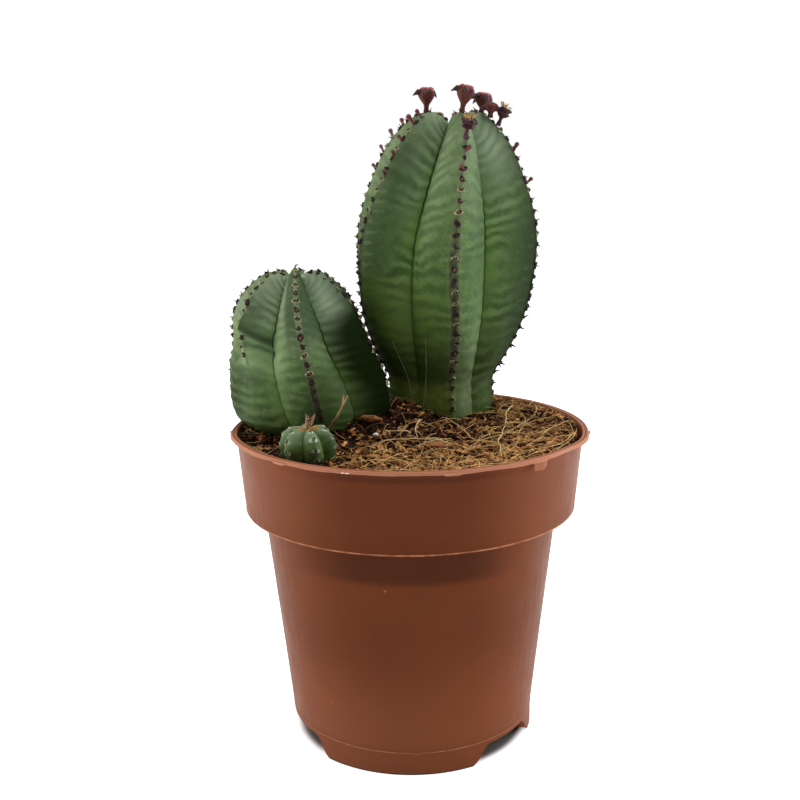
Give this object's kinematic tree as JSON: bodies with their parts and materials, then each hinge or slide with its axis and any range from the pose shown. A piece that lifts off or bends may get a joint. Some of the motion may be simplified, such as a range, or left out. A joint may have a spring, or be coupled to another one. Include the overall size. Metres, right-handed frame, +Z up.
{
  "type": "potted euphorbia",
  "caption": "Ribbed succulent stems with dark red flowers, rooted in coir soil in a round terracotta-coloured plastic nursery pot that stands on three feet.",
  "frame": {"origin": "on the ground under the middle of the pot", "axes": "+Z up; -Y is the front, with the short stem to -X and the tall stem behind the middle"},
  "size_m": [0.1215, 0.1208, 0.2185],
  "materials": {
    "terracotta_plastic": "satin moulded plastic, terracotta brown, lighter on the lip",
    "coir": "loose coir and peat, golden fibres over dark crumbs",
    "stem_green": "waxy succulent skin with cross bands, paler bloom near the crests",
    "young_green": "fresh waxy skin of a young shoot",
    "cyathium_red": "waxy dark red flower cup",
    "bud_red": "waxy dark red bud",
    "straw": "dry pale root or stalk",
    "bark": "rough dry bark",
    "perlite": "white foamed mineral grain"
  },
  "bodies": {
    "root": {"pot": "terracotta_plastic", "soil": "coir", "tall_stem": "stem_green", "short_stem": "stem_green", "offset_stem": "young_green", "cyathium_1": "cyathium_red", "cyathium_2": "cyathium_red", "cyathium_3": "cyathium_red", "cyathium_4": "cyathium_red", "cyathium_5": "cyathium_red", "cyathium_6": "cyathium_red", "flower_bud_1": "bud_red", "flower_bud_2": "bud_red", "flower_bud_3": "bud_red", "flower_bud_4": "bud_red", "flower_bud_5": "bud_red", "flower_bud_6": "bud_red", "flower_bud_7": "bud_red", "flower_bud_8": "bud_red", "flower_bud_9": "bud_red", "flower_bud_10": "bud_red", "flower_bud_11": "bud_red", "flower_bud_12": "bud_red", "flower_bud_13": "bud_red", "withered_flower": "straw", "dry_stalk": "straw", "root_strand_1": "straw", "root_strand_2": "straw", "root_strand_3": "straw", "root_strand_4": "straw", "root_strand_5": "straw", "root_strand_6": "straw", "bark_chip_1": "bark", "bark_chip_2": "bark", "bark_chip_3": "bark", "perlite_1": "perlite", "perlite_2": "perlite"}
  },
  "joints": []
}
